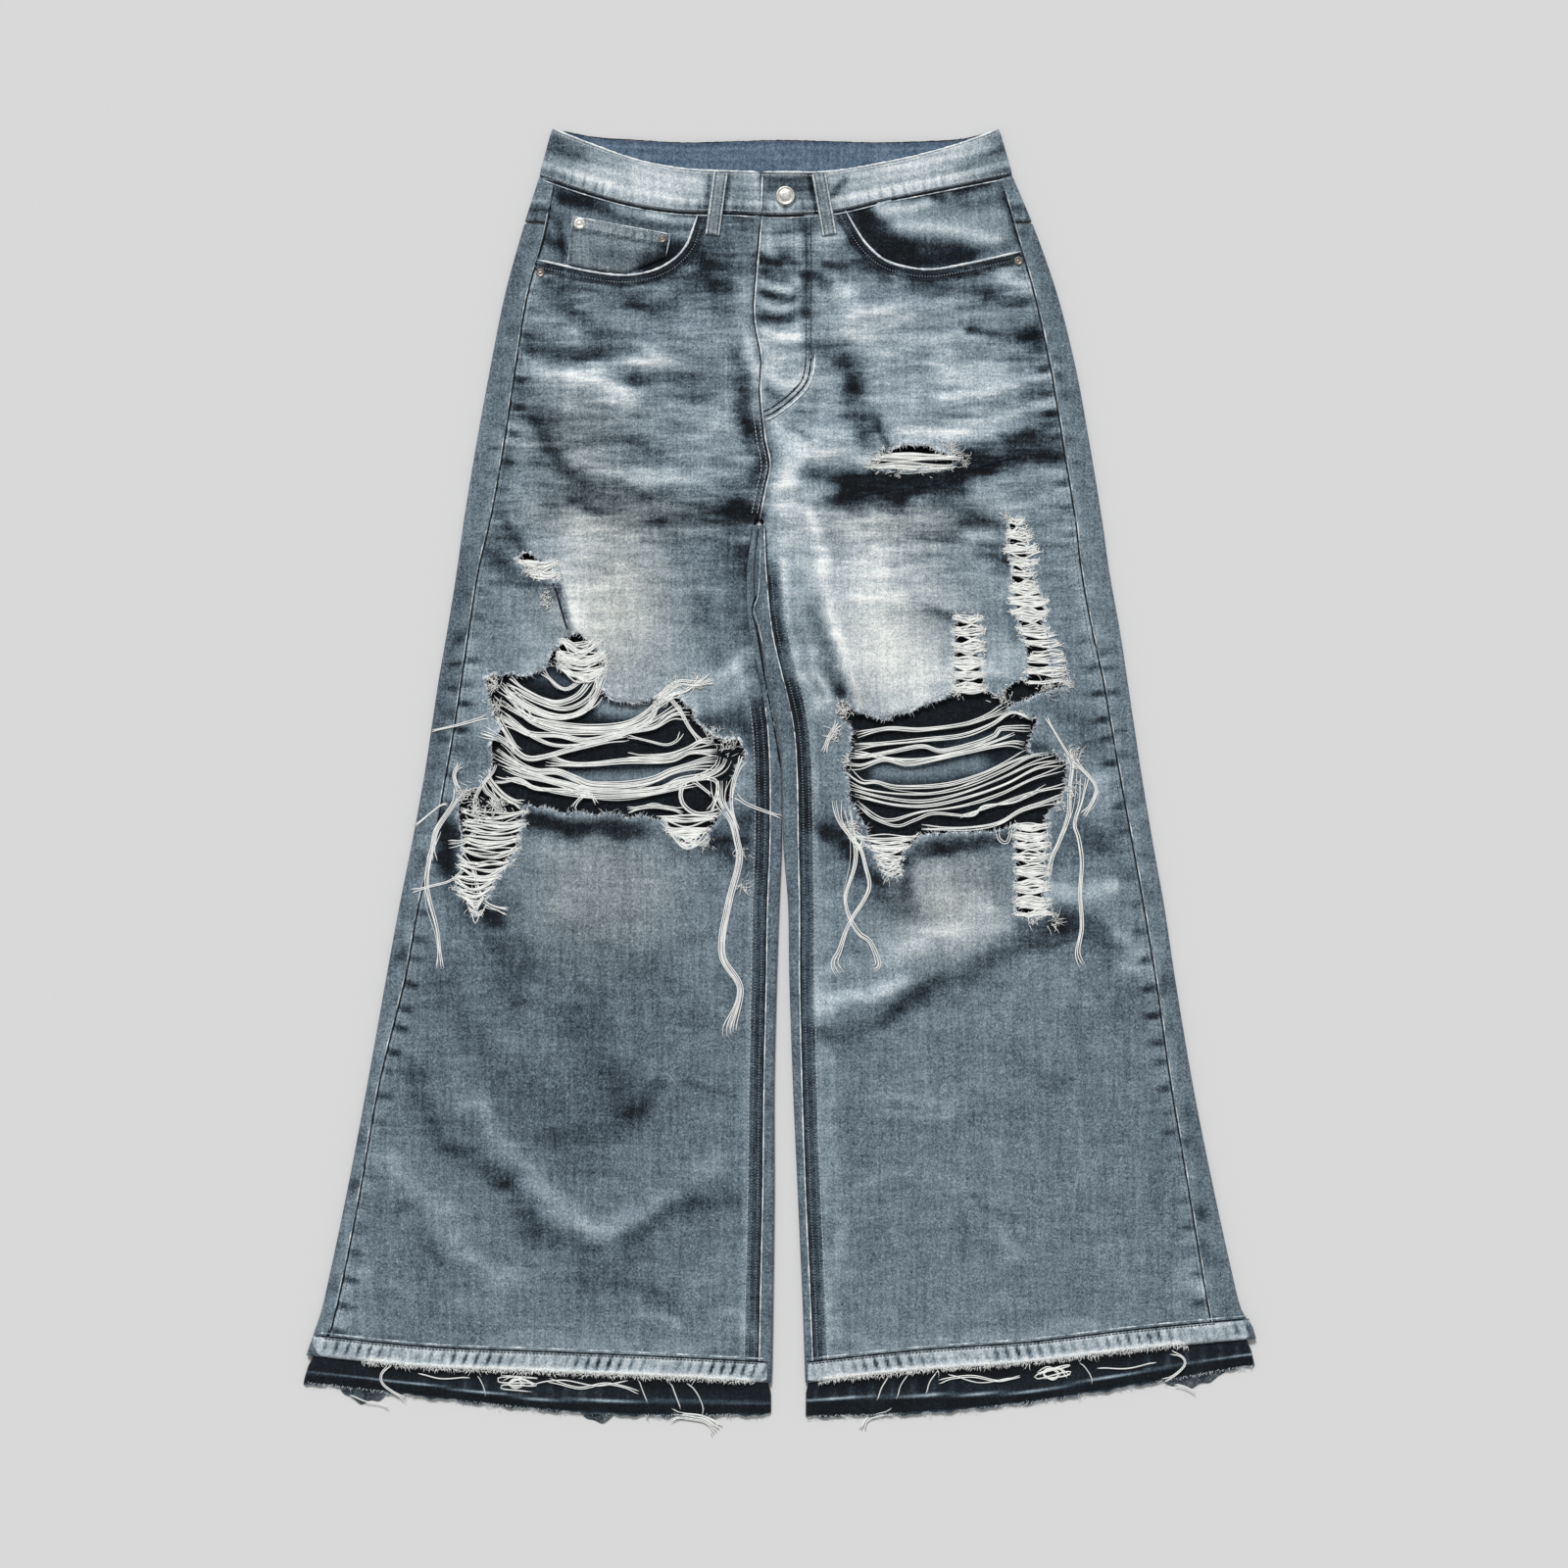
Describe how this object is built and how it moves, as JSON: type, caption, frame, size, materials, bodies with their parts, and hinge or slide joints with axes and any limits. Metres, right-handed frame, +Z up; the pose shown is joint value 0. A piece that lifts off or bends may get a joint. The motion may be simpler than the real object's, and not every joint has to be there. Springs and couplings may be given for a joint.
{
  "type": "ripped jeans",
  "caption": "Washed blue wide-leg jeans with ripped knees, bare weft threads and let-down raw hems, laid flat with the front up.",
  "frame": {"origin": "on the ground under the middle of the laid-out jeans", "axes": "+X to the wearer's left, +Y from the hems to the waistband, +Z up through the back panels to the front"},
  "size_m": [0.7972, 1.0782, 0.0132],
  "materials": {
    "washed_denim": "blue twill, heavily washed, matt",
    "dark_denim": "unwashed indigo twill of the let-down hems, matt",
    "inner_denim": "denim inside the pocket openings, less faded, matt",
    "white_thread": "undyed cotton weft, matt",
    "pale_metal": "worn pale alloy, satin",
    "dark_metal": "blackened alloy, satin"
  },
  "bodies": {
    "root": {"back_left": "washed_denim", "back_pocket_left": "washed_denim", "back_pocket_right": "washed_denim", "back_right": "washed_denim", "belt_loop_back_centre": "washed_denim", "belt_loop_back_left": "washed_denim", "belt_loop_back_right": "washed_denim", "belt_loop_front_left": "washed_denim", "belt_loop_front_right": "washed_denim", "coin_pocket": "inner_denim", "fly_facing": "washed_denim", "front_left": "washed_denim", "front_right": "washed_denim", "hem_band_left": "dark_denim", "hem_band_right": "dark_denim", "inner_fold_left": "washed_denim", "inner_fold_right": "washed_denim", "knee_threads_left_lower": "white_thread", "knee_threads_left_upper": "white_thread", "knee_threads_right_lower": "white_thread", "knee_threads_right_middle": "white_thread", "knee_threads_right_upper": "white_thread", "outer_fold_left": "washed_denim", "outer_fold_right": "washed_denim", "pocket_facing_left": "inner_denim", "pocket_facing_right": "inner_denim", "rivet_coin_inner": "dark_metal", "rivet_coin_outer": "pale_metal", "rivet_pocket_left": "dark_metal", "rivet_pocket_right": "dark_metal", "thread_ladder_left_inner": "white_thread", "thread_ladder_left_lower": "white_thread", "thread_ladder_left_outer": "white_thread", "thread_ladder_left_upper": "white_thread", "thread_ladder_right_lower": "white_thread", "waist_button": "pale_metal", "waistband": "washed_denim", "yoke_left": "washed_denim", "yoke_right": "washed_denim"}
  },
  "joints": []
}
